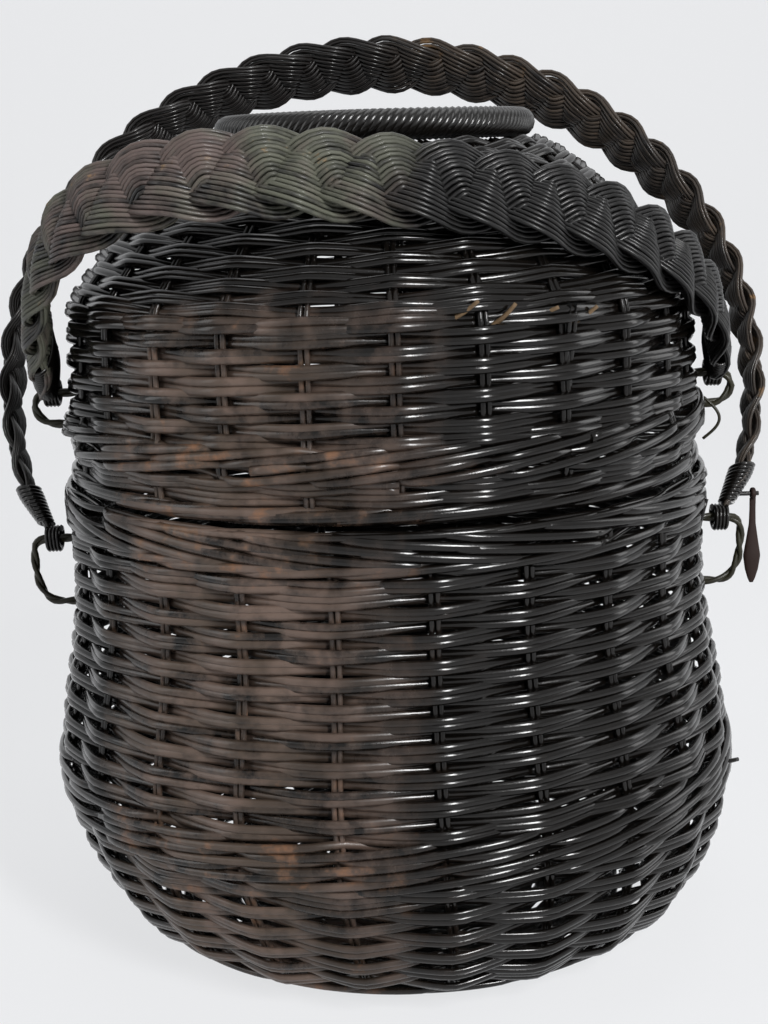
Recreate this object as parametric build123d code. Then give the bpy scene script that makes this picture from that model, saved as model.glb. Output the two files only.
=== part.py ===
from build123d import *
import math
import os

# A wicker fishing creel: a bulging round basket, a domed lid hinged at the back,
# a wide plaited handle on the lid and a narrower plaited carrying handle on the body.
# Origin on the floor under the middle of the basket, +Z up, -Y the front.
# Angles round the basket are measured from the front towards +X.

os.makedirs("parts", exist_ok=True)

# ---------------------------------------------------------------- driving dimensions, mm
clearance = 0.3           # gap between pieces that move against each other

# body
foot_radius = 115.0
bulge_radius = 175.0
bulge_height = 88.0
neck_radius = 162.0
neck_height = 188.0
body_height = 236.0
belly_fullness = 1.8      # exponent of the curve from foot to bulge
body_wall = 9.0
body_stake_count = 23
body_first_stake = 6.9    # degrees from the front
upsett_height = 18.0
bulge_wale_height = 20.0
neck_wale_height = 8.0
border_height = 14.0
wale_proud = 1.8          # how far the three-rod bands stand past the weavers' crests
weave_sunk = 2.0          # mean face of the woven sides, under the crests of the weavers

# base
base_thickness = 7.0
base_lift = 5.0           # the woven base stands clear of the floor inside its rim
base_stick_count = 6      # sticks laid across each other, each shows two ends
base_stick_width = 6.0
base_stick_depth = 5.0
base_cross_size = 44.0

# stakes: pairs of upright rods, side by side
stake_width = 6.0
stake_depth = 5.0
stake_proud = 1.0

# lid
lid_rim_radius = 157.0
lid_wale_radius = 163.0
lid_waist_radius = 156.0
lid_shoulder_radius = 156.0
lid_rim_height = 8.0
lid_wale_low = 20.0
lid_wale_high = 32.0
lid_waist_height = 48.0
lid_shoulder_height = 88.0
dome_rise = 73.0
dome_fullness = 1.5       # exponent of the curve from shoulder to crown
dome_steps = 3
crown_radius = 77.0
crown_height = 14.0
crown_border_width = 12.0
crown_dip = 3.0           # the woven middle lies lower than its border
lid_wall = 8.0
lid_stake_count = 25
lid_first_stake = 2.0

# carrying handle, on the body: an ellipse that leans back from its two rings
bail_pivot_depth = 36.0   # its pivot, under the top of the basket
bail_lean = 25.0
bail_side_gap = 34.5      # widest place of the handle, out from the neck of the basket
bail_half_height = 181.0
bail_centre_rise = 82.0
bail_plait_width = 34.0
bail_plait_thickness = 19.0
bail_plait_cycle = 70.0
bail_end_share = 0.52     # size of the plait at its ends
bail_plait_start = 22.0
bail_roll = 28.0          # the plait is rolled over at its middle, its front edge up

# lid handle: a squarer arch that lies forward on the dome
grip_pivot_rise = 39.7    # its pivot, over the foot of the lid
grip_lean = 51.5
grip_side_gap = 11.0      # widest place of the handle, out from the waist of the lid
grip_half_height = 167.0
grip_squareness = 2.6
grip_skew = 0.19          # the arch is pulled up on its left, as a share of its height
grip_plait_width = 44.5
grip_plait_thickness = 17.0
grip_plait_cycle = 80.0
grip_end_share = 0.7
grip_plait_start = 22.0

# rings of withy that carry the handles, and the eyes bound on the handles' ends
withy_radius = 2.4
eye_play = 0.5
eye_length = 9.0
eye_wall = 4.6
bail_eye_gap = 11.0       # out from the neck of the basket
bail_ring_gap = 22.0
bail_ring_drop = 36.0
grip_eye_gap = 12.5       # out from the waist of the lid
grip_ring_gap = 22.0
grip_ring_drop = 17.0
ring_corner = 4.0
ring_root = 6.0           # how deep a ring is pushed into the weave
rod_sides = 6
eye_sides = 6

# hinge at the back
hinge_gap = 9.0           # middle of the hinge bar, out from the neck of the basket
hinge_rise = 2.0          # and up from the top of its border
hinge_bar_length = 84.0
hinge_loop_places = (-18.0, 18.0)
hinge_wrap_places = (-36.0, 0.0, 36.0)
hinge_loop_width = 6.0
hinge_wrap_width = 8.0
hinge_wrap_low = 4.0      # where the wraps grip the rim of the lid, above its foot
hinge_wrap_high = 11.0
hinge_wrap_over = 4.5     # half the thickness of a wrap round its bar
hinge_root_low = 2.0      # where the loops are rooted in the border, above its foot
hinge_root_high = 8.0

# closing peg that hangs at the right end of the carrying handle
peg_hang = 12.0           # along the handle from its pivot
peg_gap = 29.5            # out from the neck of the basket
peg_length = 41.0
peg_width = 9.5
peg_thickness = 3.4
peg_pin_radius = 1.2
peg_eye_wall = 1.8
peg_drop = 7.0

# proportions of a flat three-strand plait, as shares of its width and thickness
strand_swing = 0.352
strand_lift = 0.352
strand_half_width = 0.165
strand_half_thickness = 0.13
stations_per_cycle = 6


# ---------------------------------------------------------------- round forms
def stake_angles(count, first):
    return [math.radians(first + 360.0 * k / count) for k in range(count)]


def flat_face(corners):
    return Face(Wire.make_polygon(corners, close=True))


def round_the_stakes(radius, height, count, first):
    """One course of weaving: straight from stake to stake."""
    corners = []
    for angle in stake_angles(count, first):
        corners.append(Vector(radius * math.sin(angle), -radius * math.cos(angle), height))
    return corners


def woven_solid(levels, count, first):
    """A closed drum, flat-sided from stake to stake and from level to level."""
    courses = [round_the_stakes(radius, height, count, first) for height, radius in levels]
    faces = [flat_face(courses[0]), flat_face(courses[-1])]
    for below, above in zip(courses, courses[1:]):
        for n in range(count):
            m = (n + 1) % count
            faces.append(flat_face([below[n], below[m], above[m], above[n]]))
    return Solid(Shell(faces))


def woven_band(levels, wall, count, first):
    """A woven wall that follows (height, outside radius) levels."""
    inner = [(height, radius - wall) for height, radius in levels]
    return woven_solid(levels, count, first) - woven_solid(inner, count, first)


def body_radius(height):
    """Outside of the body wall at a stake."""
    if height <= bulge_height:
        share = max(0.0, height) / bulge_height
        rise = (1 - (1 - share) ** belly_fullness) ** (1 / belly_fullness)
        return foot_radius + (bulge_radius - foot_radius) * rise
    share = min(1.0, (height - bulge_height) / (neck_height - bulge_height))
    return neck_radius + (bulge_radius - neck_radius) * (1 + math.cos(math.pi * share)) / 2


def body_levels(*heights, proud=0.0):
    return [(height, body_radius(height) + proud) for height in heights]


def radius_on(levels, height):
    """The radius at a height on a run of straight-sided levels."""
    for (low, near), (high, far) in zip(levels, levels[1:]):
        if height <= high:
            return near + (far - near) * (height - low) / (high - low)
    return levels[-1][1]


def dome_levels(steps, sunk):
    """The dome of the lid, from its shoulder to the crown, above the floor."""
    levels = []
    for k in range(steps + 1):
        share = k / steps
        radius = lid_shoulder_radius + (crown_radius - lid_shoulder_radius) * share
        rise = dome_rise * (1 - (1 - share) ** dome_fullness)
        levels.append((shoulder_z + rise - sunk * share, radius - sunk * (1 - share)))
    return levels


def rail(outline, out, into):
    """The closed outline, radius and height, of a flat rod pair laid along a wall.

    Its foot is level, so that it stands flat on the band below.
    """
    faces = []
    for distance in (out, -into):
        side = []
        for k, (height, radius) in enumerate(outline):
            before = outline[max(0, k - 1)]
            after = outline[min(len(outline) - 1, k + 1)]
            along = Vector(after[1] - before[1], after[0] - before[0]).normalized()
            if k == 0:
                side.append((radius + distance / along.Y, height))
            else:
                side.append((radius + along.Y * distance, height - along.X * distance))
        faces.append(side)
    return faces[0] + faces[1][::-1]


def stakes(outline, count, first):
    """Upright rod pairs, all alike, one at each corner of the weaving."""
    section = rail(outline, stake_proud, stake_depth - stake_proud)
    points = [Vector(radius, 0, height) for radius, height in section]
    upright = extrude(flat_face(points), stake_width / 2, both=True)
    solid = upright.solid()
    return [
        solid.rotate(Axis.Z, math.degrees(angle) - 90.0)
        for angle in stake_angles(count, first)
    ]


# ---------------------------------------------------------------- rods, rings and eyes
def tube(sections):
    """A closed solid through a run of alike many-cornered sections, flat-faced between them."""
    faces = [flat_face(sections[0]), flat_face(sections[-1])]
    for near, far in zip(sections, sections[1:]):
        for n in range(len(near)):
            m = (n + 1) % len(near)
            faces.append(flat_face([near[n], near[m], far[m]]))
            faces.append(flat_face([near[n], far[m], far[n]]))
    return Solid(Shell(faces))


def rod_along(points, radius):
    """A round rod through a list of points, as a prism of a few sides."""
    sections = []
    for k, point in enumerate(points):
        before = points[max(0, k - 1)]
        after = points[min(len(points) - 1, k + 1)]
        along = (after - before).normalized()
        plane = Plane(origin=point, x_dir=Vector(0, 1, 0), z_dir=along)
        corners = []
        for n in range(rod_sides):
            turn = 2 * math.pi * (n + 0.5) / rod_sides
            corners.append(plane.from_local_coords((radius * math.cos(turn), radius * math.sin(turn))))
        sections.append(corners)
    return tube(sections)


def withy_ring(root, reach, top, drop, side):
    """A staple of withy: out of the wall, down and back in. side is 1 right, -1 left."""
    low = top - drop
    route = [
        (root, top), (reach - ring_corner, top), (reach, top - ring_corner),
        (reach, low + ring_corner), (reach - ring_corner, low), (root, low),
    ]
    return rod_along([Vector(side * out, 0, height) for out, height in route], withy_radius)


def eye_prism(apothem, middle, length):
    """A prism of a few sides along X round the X axis."""
    corner = apothem / math.cos(math.pi / eye_sides)
    points = []
    for n in range(eye_sides):
        turn = 2 * math.pi * (n + 0.5) / eye_sides
        points.append(Vector(middle - length / 2, corner * math.cos(turn), corner * math.sin(turn)))
    return extrude(flat_face(points), length, dir=Vector(1, 0, 0)).solid()


def prism_across(outline, middle, width):
    """A prism along X on a (y, z) outline."""
    points = [Vector(middle - width / 2, y, z) for y, z in outline]
    return extrude(flat_face(points), width, dir=Vector(1, 0, 0)).solid()


# ---------------------------------------------------------------- plaited handles
def bail_arch(share):
    """The carrying handle's middle line, (x, up), from its right end to its left."""
    start = -math.asin(bail_centre_rise / bail_half_height)
    turn = start + share * (math.pi - 2 * start)
    return (bail_half_width * math.cos(turn),
            bail_centre_rise + bail_half_height * math.sin(turn))


def grip_arch(share):
    """The lid handle's middle line, (x, up), from its right end to its left."""
    turn = math.pi * share
    power = 2 / grip_squareness
    x = grip_half_width * math.copysign(abs(math.cos(turn)) ** power, math.cos(turn))
    up = grip_half_height * max(0.0, math.sin(turn)) ** power
    return x, up * (1 - grip_skew * x / grip_half_width)


def stations(arch, start, cycle):
    """Points at even steps along an arch, above a start height at both of its ends."""
    fine = [arch(k / 2000) for k in range(2001)]
    middle = len(fine) // 2
    first = next(k for k in range(middle) if fine[k][1] >= start)
    last = next(k for k in range(len(fine) - 1, middle, -1) if fine[k][1] >= start)
    fine = fine[first:last + 1]
    run = [0.0]
    for a, b in zip(fine, fine[1:]):
        run.append(run[-1] + math.dist(a, b))
    count = round(run[-1] / cycle * stations_per_cycle)
    points = []
    k = 0
    for n in range(count + 1):
        target = run[-1] * n / count
        while k < len(run) - 2 and run[k + 1] < target:
            k += 1
        share = (target - run[k]) / (run[k + 1] - run[k])
        points.append((fine[k][0] + share * (fine[k + 1][0] - fine[k][0]),
                       fine[k][1] + share * (fine[k + 1][1] - fine[k][1])))
    return points


def outward(points, k):
    """The direction across an arch at a station, pointing away from the basket."""
    before = points[max(0, k - 1)]
    after = points[min(len(points) - 1, k + 1)]
    along = Vector(after[0] - before[0], 0, after[1] - before[1]).normalized()
    return Vector(along.Z, 0, -along.X)


def plait_size(k, count, end_share):
    """The plait is slimmer at its ends and full over the top."""
    share = max(0.0, math.sin(math.pi * k / count)) ** 0.6
    return end_share + (1 - end_share) * share


def plait(points, width, thickness, end_share, roll):
    """Three flat strands that pass over and under each other along an arch."""
    strands = []
    count = len(points) - 1
    for strand in range(3):
        sections = []
        for k, (x, up) in enumerate(points):
            size = plait_size(k, count, end_share)
            phase = -2 * math.pi * (k / stations_per_cycle + strand / 3)
            side = width * size * strand_swing * math.sin(phase)
            lift = thickness * size * strand_lift * math.sin(2 * phase)
            half_width = width * size * strand_half_width
            half_thick = thickness * size * strand_half_thickness
            section = [(half_width, -half_thick), (half_width, half_thick),
                       (-half_width, half_thick), (-half_width, -half_thick)]
            turn = math.radians(roll) * math.sin(math.pi * k / count) ** 1.5
            back = Vector(0, 1, 0)
            face = back * math.sin(turn) + outward(points, k) * math.cos(turn)
            edge = back * math.cos(turn) - outward(points, k) * math.sin(turn)
            corners = []
            for across, above in section:
                corners.append(Vector(x, 0, up) + edge * (side + across) + face * (lift + above))
            sections.append(corners)
        strands.append(tube(sections))
    return strands


def end_eye(points, k, width, thickness, middle, side):
    """The bound end of a handle: an eye on its ring, and a neck up to the plait."""
    x, up = points[k]
    out = outward(points, k)
    half_thick = thickness / 2
    half_width = width / 2
    top = []
    for across, above in ((1, 1), (-1, 1), (-1, -1), (1, -1)):
        top.append(Vector(x, across * half_width, up) + out * (above * half_thick))
    foot = []
    eye_radius = withy_radius + eye_play + eye_wall
    for across, above in ((1, 1), (-1, 1), (-1, -1), (1, -1)):
        foot.append(Vector(side * (middle + above * eye_length / 2), across * eye_radius * 0.8, 2.0))
    neck = tube([foot, top])
    eye = eye_prism(eye_radius, side * middle, eye_length)
    bore = eye_prism(withy_radius + eye_play, side * middle, 3 * eye_length)
    return eye + neck - bore


def stand(shapes, lean, height):
    """Lean a handle, built upright, and set it on its pivot. Backward lean is positive."""
    return [shape.rotate(Axis.X, -lean).translate(Vector(0, 0, height)) for shape in shapes]


# ---------------------------------------------------------------- derived heights
lid_z = body_height + clearance
shoulder_z = lid_z + lid_shoulder_height
crown_z = shoulder_z + dome_rise
bulge_wale_low = bulge_height - bulge_wale_height / 2
bulge_wale_top = bulge_height + bulge_wale_height / 2
neck_wale_top = body_height - border_height
neck_wale_low = neck_wale_top - neck_wale_height
bail_pivot_height = body_height - bail_pivot_depth
bail_half_width = neck_radius + bail_side_gap
grip_pivot_height = lid_z + grip_pivot_rise
grip_half_width = lid_waist_radius + grip_side_gap
hinge_out = neck_radius + hinge_gap
hinge_up = body_height + hinge_rise
peg_middle = neck_radius + peg_gap

parts = {}

# ---------------------------------------------------------------- base
upsett_mid = upsett_height * 0.4
upsett_levels = body_levels(0.0, upsett_mid, upsett_height, proud=wale_proud)
base_top = base_lift + base_thickness
base_edge = [
    (height, radius_on(upsett_levels, height) - body_wall)
    for height in (base_lift, upsett_mid, base_top)
]
base_radius = base_edge[0][1]
disc = woven_solid(base_edge, body_stake_count, body_first_stake)
sticks = Box(base_cross_size, base_cross_size, base_stick_depth)
for k in range(base_stick_count):
    stick = Box(2 * base_radius - 2 * base_stick_width, base_stick_width, base_stick_depth)
    sticks += stick.rotate(Axis.Z, 180.0 * (k + 0.5) / base_stick_count)
sticks = sticks.translate(Vector(0, 0, base_lift + base_stick_depth / 2 - stake_proud))
parts["base_sticks"] = [sticks]
parts["base_weave"] = [disc - sticks]

# ---------------------------------------------------------------- body of the basket
lower_mid = upsett_height + (bulge_wale_low - upsett_height) * 0.4
upper_mid = (bulge_wale_top + neck_wale_low) / 2
body_outline = body_levels(upsett_height, lower_mid, bulge_wale_low, bulge_wale_top,
                           upper_mid, neck_wale_low, neck_wale_top, proud=-weave_sunk)
body_stakes = stakes(body_outline, body_stake_count, body_first_stake)
border_low = neck_wale_top
border_mid = border_height / 3
border_levels = [
    (border_low, neck_radius + wale_proud / 2), (body_height - border_mid, neck_radius + wale_proud),
    (body_height, neck_radius - wale_proud),
]
bands = {
    "upsett_wale": upsett_levels,
    "lower_side_weave": body_levels(upsett_height, lower_mid, bulge_wale_low,
                                    proud=-weave_sunk),
    "bulge_wale": body_levels(bulge_wale_low, bulge_wale_top, proud=wale_proud),
    "upper_side_weave": body_levels(bulge_wale_top, upper_mid, neck_wale_low,
                                    proud=-weave_sunk),
    "neck_wale": body_levels(neck_wale_low, neck_wale_top, proud=wale_proud),
    "body_border": border_levels,
}

bail_rings = {}
for name, side in (("right", 1), ("left", -1)):
    bail_rings[name] = withy_ring(neck_radius - ring_root, neck_radius + bail_ring_gap,
                                  bail_pivot_height, bail_ring_drop, side)
    parts[f"handle_ring_{name}"] = [bail_rings[name]]

loop_radius = withy_radius + eye_play + eye_wall
loop_outline = [
    (neck_radius - body_wall / 2, border_low + hinge_root_low),
    (neck_radius - body_wall / 2, border_low + hinge_root_high),
    (hinge_out - loop_radius / 2, hinge_up - loop_radius / 2),
    (hinge_out, hinge_up - withy_radius - eye_play),
    (hinge_out + loop_radius / 2, hinge_up - loop_radius * 0.8),
    (hinge_out - loop_radius / 2, border_low + (hinge_root_low + hinge_root_high) / 2),
]
hinge_loops = []
for place in hinge_loop_places:
    ring = eye_prism(loop_radius, place, hinge_loop_width)
    bore = eye_prism(withy_radius + eye_play, place, 3 * hinge_loop_width)
    seat = Vector(0, hinge_out, hinge_up)
    tail = prism_across(loop_outline, place, hinge_loop_width)
    hinge_loops.append((ring.translate(seat) + tail - bore.translate(seat)).solid())
parts["hinge_loops"] = hinge_loops

parts["body_stakes"] = [
    (stake - bail_rings["right"] - bail_rings["left"]) for stake in body_stakes
]
body_cutters = body_stakes + list(bail_rings.values()) + hinge_loops
for name, levels in bands.items():
    wall = body_wall - weave_sunk if name.endswith("weave") else body_wall
    band = woven_band(levels, wall, body_stake_count, body_first_stake)
    parts[name] = [band.cut(*body_cutters)]

# ---------------------------------------------------------------- lid
rim_top = lid_z + lid_rim_height
wale_radius = lid_wale_radius - wale_proud - weave_sunk
rim_top_radius = lid_rim_radius + (wale_radius - lid_rim_radius) * lid_rim_height / lid_wale_low
waist_radius = lid_waist_radius - weave_sunk
lid_outline = [
    (rim_top, rim_top_radius), (lid_z + lid_wale_low, wale_radius),
    (lid_z + lid_wale_high, wale_radius), (lid_z + lid_waist_height, waist_radius),
] + dome_levels(dome_steps, weave_sunk)
lid_stakes = stakes(lid_outline, lid_stake_count, lid_first_stake)

grip_rings = {}
for name, side in (("right", 1), ("left", -1)):
    grip_rings[name] = withy_ring(lid_waist_radius - ring_root, lid_waist_radius + grip_ring_gap,
                                  grip_pivot_height, grip_ring_drop, side)
    parts[f"lid_ring_{name}"] = [grip_rings[name]]

hinge_bar = eye_prism(withy_radius * math.cos(math.pi / eye_sides), 0, hinge_bar_length)
hinge_bar = hinge_bar.translate(Vector(0, hinge_out, hinge_up))
wrap_outline = [
    (lid_rim_radius - lid_wall, lid_z + hinge_wrap_low),
    (lid_rim_radius - lid_wall, lid_z + hinge_wrap_high),
    (hinge_out - hinge_wrap_over * 0.7, hinge_up + hinge_wrap_over * 1.5),
    (hinge_out + hinge_wrap_over, hinge_up + hinge_wrap_over * 0.7),
    (hinge_out + hinge_wrap_over, hinge_up - hinge_wrap_over * 0.7),
    (hinge_out - hinge_wrap_over * 0.7, hinge_up - hinge_wrap_over * 0.7),
    (hinge_out - hinge_wrap_over * 1.3, hinge_up + hinge_wrap_over * 0.4),
]
for place in hinge_wrap_places:
    hinge_bar += prism_across(wrap_outline, place, hinge_wrap_width)
parts["lid_hinge_bar"] = [hinge_bar]

lid_bands = {
    "lid_rim_border": [(lid_z, lid_rim_radius), (rim_top, rim_top_radius)],
    "lid_skirt_weave": [(rim_top, rim_top_radius), (lid_z + lid_wale_low, wale_radius)],
    "lid_wale": [(lid_z + lid_wale_low, lid_wale_radius), (lid_z + lid_wale_high, lid_wale_radius)],
    "lid_side_weave": [
        (lid_z + lid_wale_high, wale_radius), (lid_z + lid_waist_height, waist_radius),
        (shoulder_z, lid_shoulder_radius - weave_sunk),
    ],
}
lid_cutters = lid_stakes + list(grip_rings.values()) + [hinge_bar]
for name, levels in lid_bands.items():
    wall = lid_wall - weave_sunk if name.endswith("weave") else lid_wall
    band = woven_band(levels, wall, lid_stake_count, lid_first_stake)
    parts[name] = [band.cut(*lid_cutters)]
parts["lid_stakes"] = [
    (stake - grip_rings["right"] - grip_rings["left"]) - hinge_bar for stake in lid_stakes
]

dome = woven_solid(dome_levels(dome_steps, weave_sunk), lid_stake_count, lid_first_stake)
hollow_levels = [(height - lid_wall, radius - lid_wall / 4)
                 for height, radius in dome_levels(dome_steps, 0.0)]
hollow_levels[0] = (shoulder_z - lid_wall, lid_shoulder_radius - lid_wall)
hollow = woven_solid(hollow_levels, lid_stake_count, lid_first_stake)
crown_inner = crown_radius - crown_border_width
crown_top = crown_z + crown_height
hole = woven_solid([(shoulder_z, crown_inner), (crown_top, crown_inner)],
                   lid_stake_count, lid_first_stake)
parts["lid_dome_weave"] = [(dome - hollow - hole).cut(*lid_stakes)]
crown_edge = [(crown_z - weave_sunk, crown_radius), (crown_z + crown_height / 2, crown_radius + wale_proud),
              (crown_top, crown_radius - wale_proud)]
parts["lid_crown_border"] = [
    (woven_solid(crown_edge, lid_stake_count, lid_first_stake) - hole).cut(*lid_stakes)
]
crown_floor = crown_z - lid_wall
parts["lid_crown_weave"] = [
    woven_solid([(crown_floor, crown_inner), (crown_top - crown_dip, crown_inner)],
                lid_stake_count, lid_first_stake)
]

# ---------------------------------------------------------------- handles
handles = {
    "handle": (stations(bail_arch, bail_plait_start, bail_plait_cycle), bail_plait_width,
               bail_plait_thickness, bail_end_share, neck_radius + bail_eye_gap, bail_lean,
               bail_pivot_height, bail_roll),
    "lid_handle": (stations(grip_arch, grip_plait_start, grip_plait_cycle), grip_plait_width,
                   grip_plait_thickness, grip_end_share, lid_waist_radius + grip_eye_gap,
                   -grip_lean, grip_pivot_height, 0.0),
}
for name, (points, width, thickness, share, eye_middle, lean, pivot, roll) in handles.items():
    strands = plait(points, width, thickness, share, roll)
    for letter, strand in zip("abc", stand(strands, lean, pivot)):
        parts[f"{name}_strand_{letter}"] = [strand]
    for side_name, k, side in (("right", 0, 1), ("left", len(points) - 1, -1)):
        eye = end_eye(points, k, width * share, thickness * share, eye_middle, side)
        if name == "handle" and side == 1:
            pin_foot = eye_middle + eye_length / 2
            pin_end = peg_middle + peg_thickness
            pin = eye_prism(peg_pin_radius, (pin_foot + pin_end) / 2, pin_end - pin_foot)
            eye += pin.translate(Vector(0, 0, peg_hang))
        parts[f"{name}_eye_{side_name}"] = stand([eye], lean, pivot)

# ---------------------------------------------------------------- closing peg
peg_y = peg_hang * math.sin(math.radians(bail_lean))
peg_z = bail_pivot_height + peg_hang * math.cos(math.radians(bail_lean))
peg_eye = eye_prism(peg_pin_radius + clearance + peg_eye_wall, peg_middle, peg_thickness)
peg_bore = eye_prism(peg_pin_radius + clearance, peg_middle, peg_width)
outline = [(1.4, -2.0), (1.4, -peg_drop), (peg_width * 0.28, -peg_drop - peg_length * 0.35),
           (peg_width / 2, -peg_drop - peg_length * 0.58), (0.6, -peg_drop - peg_length)]
outline += [(-x, z) for x, z in outline[::-1]]
points = [Vector(peg_middle + x, -peg_thickness / 2, z) for x, z in outline]
blade = extrude(flat_face(points), peg_thickness, dir=Vector(0, 1, 0))
peg = (peg_eye + blade - peg_bore).translate(Vector(0, peg_y, peg_z))
parts["closing_peg"] = [peg]

# ---------------------------------------------------------------- write
for name, pieces in parts.items():
    solids = [solid for piece in pieces for solid in piece.solids()]
    shape = solids[0] if len(solids) == 1 else Compound(children=solids)
    export_step(shape, f"parts/{name}.step")
print(len(parts), "parts")
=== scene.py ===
import math

import bpy
import numpy as np
from mathutils import Matrix, Vector


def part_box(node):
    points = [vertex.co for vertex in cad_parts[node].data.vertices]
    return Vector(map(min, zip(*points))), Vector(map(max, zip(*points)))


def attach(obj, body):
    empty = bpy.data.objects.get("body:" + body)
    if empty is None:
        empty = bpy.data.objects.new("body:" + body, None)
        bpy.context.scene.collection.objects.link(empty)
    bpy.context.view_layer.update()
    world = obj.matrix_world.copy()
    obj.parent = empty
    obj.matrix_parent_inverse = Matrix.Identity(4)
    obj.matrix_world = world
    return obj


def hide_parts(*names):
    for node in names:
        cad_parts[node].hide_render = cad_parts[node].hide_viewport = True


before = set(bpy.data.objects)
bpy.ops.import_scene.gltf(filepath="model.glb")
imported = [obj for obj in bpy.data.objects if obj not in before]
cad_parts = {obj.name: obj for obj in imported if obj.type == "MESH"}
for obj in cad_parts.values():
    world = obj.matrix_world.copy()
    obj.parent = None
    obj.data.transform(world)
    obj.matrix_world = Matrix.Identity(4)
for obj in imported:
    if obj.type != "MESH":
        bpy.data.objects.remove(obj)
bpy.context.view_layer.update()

# An old fishing creel woven of black-stained willow. Each rod is a mesh tube of its own, and
# the rods of one band, plait or binding are joined in one piece. Lengths are in millimetres
# until a piece is made, and the frame is in metres. Angles round the basket are measured from
# the front towards the right.

METRES = 0.001
rng = np.random.default_rng(11)


# ---------------------------------------------------------------- sizes from the frame
def low_of(node):
    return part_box(node)[0].z / METRES


def high_of(node):
    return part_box(node)[1].z / METRES


def reach_of(node):
    low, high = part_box(node)
    return (high.x - low.x) / 2 / METRES


BODY_STAKES = 23
BODY_FIRST = math.radians(6.9)           # where the first stake stands
LID_STAKES = 25
LID_FIRST = math.radians(2.0)
WALE_PROUD = 1.8                         # the wales stand out past the weave
FOOT_RADIUS = 115.0
FOOT_INSIDE, FOOT_FLARE = 104.0, 2.4     # the foot turns in: its radius on the floor, and out for each mm up
BULGE_RADIUS = reach_of("bulge_wale") - WALE_PROUD
NECK_RADIUS = reach_of("neck_wale") - WALE_PROUD
BULGE_HEIGHT = (low_of("bulge_wale") + high_of("bulge_wale")) / 2
NECK_HEIGHT = 188.0
BODY_TOP = high_of("body_border")
BELLY_FULLNESS = 1.8                     # over 1, so the belly is rounder than a cone
LID_BOTTOM = low_of("lid_rim_border")
RIM_RADIUS = 157.0
LID_WALE_RADIUS = reach_of("lid_wale") - WALE_PROUD
WAIST_RADIUS = 156.0
WAIST_HEIGHT = LID_BOTTOM + 48.0
SHOULDER_HEIGHT = low_of("lid_dome_weave")
WEAVE_SUNK = 2.0                         # the solids' face lies under the crests of the weavers
DOME_RISE = high_of("lid_dome_weave") - SHOULDER_HEIGHT + WEAVE_SUNK
DOME_FULLNESS = 1.5
CROWN_RADIUS = 77.0

SIDE_ROD = 1.5                           # radius of a side weaver, 3 mm thick
FINE_ROD = 1.25                          # radius of the finer rods in the lid
WALE_ROD = 1.9
BORDER_ROD, FINISHING_ROD, RIM_ROD = 2.0, 1.5, 2.1
STAKE_ROD = 1.35                         # two of these side by side make a stake
WALL_MIDDLE = 4.2                        # how far the middle of the wall lies inside its outer face
LID_WALL_MIDDLE = 3.6
DOME_IN, DOME_DOWN = 2.6, 2.2            # how far the middle of the dome's weave lies inside its face
BELLY_SHIFT, BELLY_SHIFT_TOP = 6.0, 120.0    # the foot lies this far right, less and less up to there
WEAVE_LIFT = 3.7                         # a rod swings this far out and in, to clear the stakes
FINE_LIFT = 2.3                          # and this far in the thinner parts of the lid
PRESSED = 1.42                           # a rod in the weave is wider along the wall than through it


# ---------------------------------------------------------------- walls
def body_radius(height):
    share = np.clip(height / BULGE_HEIGHT, 0.0, 1.0)
    belly = FOOT_RADIUS + (BULGE_RADIUS - FOOT_RADIUS) * (
        1 - (1 - share) ** BELLY_FULLNESS) ** (1 / BELLY_FULLNESS)
    up = np.clip((height - BULGE_HEIGHT) / (NECK_HEIGHT - BULGE_HEIGHT), 0.0, 1.0)
    neck = NECK_RADIUS + (BULGE_RADIUS - NECK_RADIUS) * (1 + np.cos(math.pi * up)) / 2
    foot = FOOT_INSIDE + FOOT_FLARE * height
    return np.where(height <= BULGE_HEIGHT, np.minimum(belly, foot), neck)


def wall_from(points):
    """A wall from its outline, (radius, height) points. It gives the place and the outward
    direction at a run along it."""
    points = np.array(points, float)
    steps = np.hypot(*np.diff(points, axis=0).T)
    run = np.concatenate([[0.0], np.cumsum(steps)])
    along = np.gradient(points, run, axis=0)
    along /= np.linalg.norm(along, axis=1)[:, None]
    outward = np.stack([along[:, 1], -along[:, 0]], 1)

    def place(m):
        r, z = np.interp(m, run, points[:, 0]), np.interp(m, run, points[:, 1])
        out_r, out_z = np.interp(m, run, outward[:, 0]), np.interp(m, run, outward[:, 1])
        return r, z, out_r, out_z

    def run_at(height):
        return float(np.interp(height, points[:, 1], run))

    place.run_at = run_at
    place.length = float(run[-1])
    return place


def rounded(corners, steps=14):
    """A smooth curve through a few (radius, height) corners."""
    corners = np.array(corners, float)
    padded = np.vstack([2 * corners[0] - corners[1], corners, 2 * corners[-1] - corners[-2]])
    points = []
    for a, b, c, d in zip(padded, padded[1:], padded[2:], padded[3:]):
        for t in np.arange(steps) / steps:
            points.append(0.5 * ((2 * b) + (c - a) * t + (2 * a - 5 * b + 4 * c - d) * t ** 2
                                 + (3 * b - a - 3 * c + d) * t ** 3))
    points.append(corners[-1])
    return points


body_heights = np.concatenate([BULGE_HEIGHT * (1 - np.cos(np.linspace(0, math.pi / 2, 60))),
                               np.linspace(BULGE_HEIGHT, BODY_TOP, 60)[1:]])
body_wall = wall_from([(body_radius(h) - WALL_MIDDLE, h) for h in body_heights])
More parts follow.
